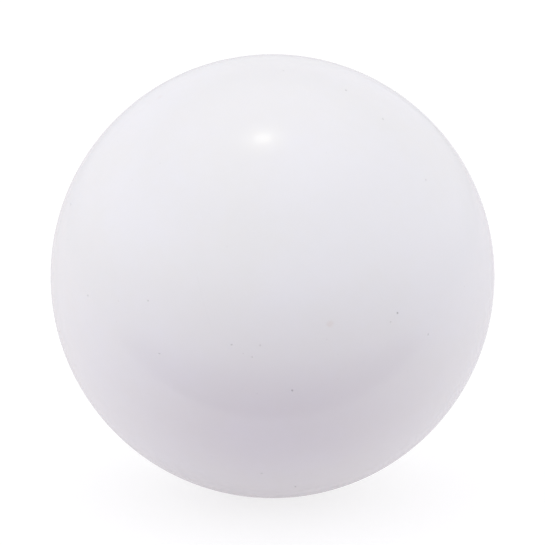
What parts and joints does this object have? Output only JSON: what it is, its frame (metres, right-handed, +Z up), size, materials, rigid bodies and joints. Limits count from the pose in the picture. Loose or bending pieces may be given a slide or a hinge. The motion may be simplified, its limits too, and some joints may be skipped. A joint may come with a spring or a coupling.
{
  "type": "cue ball",
  "caption": "Plain white pool cue ball: a solid sphere of cast phenolic resin, ground and polished, with a few fine pits and marks from play.",
  "frame": {"origin": "the ball's centre", "axes": "+Z up, with the ball resting on a table; the ball is the same all round, so +X and +Y are free, and the side with the marks that were seen faces -Y"},
  "size_m": [0.0572, 0.0572, 0.0572],
  "materials": {
    "phenolic_resin": "polished, played-in"
  },
  "bodies": {
    "root": {"cue_ball": "phenolic_resin"}
  },
  "joints": []
}
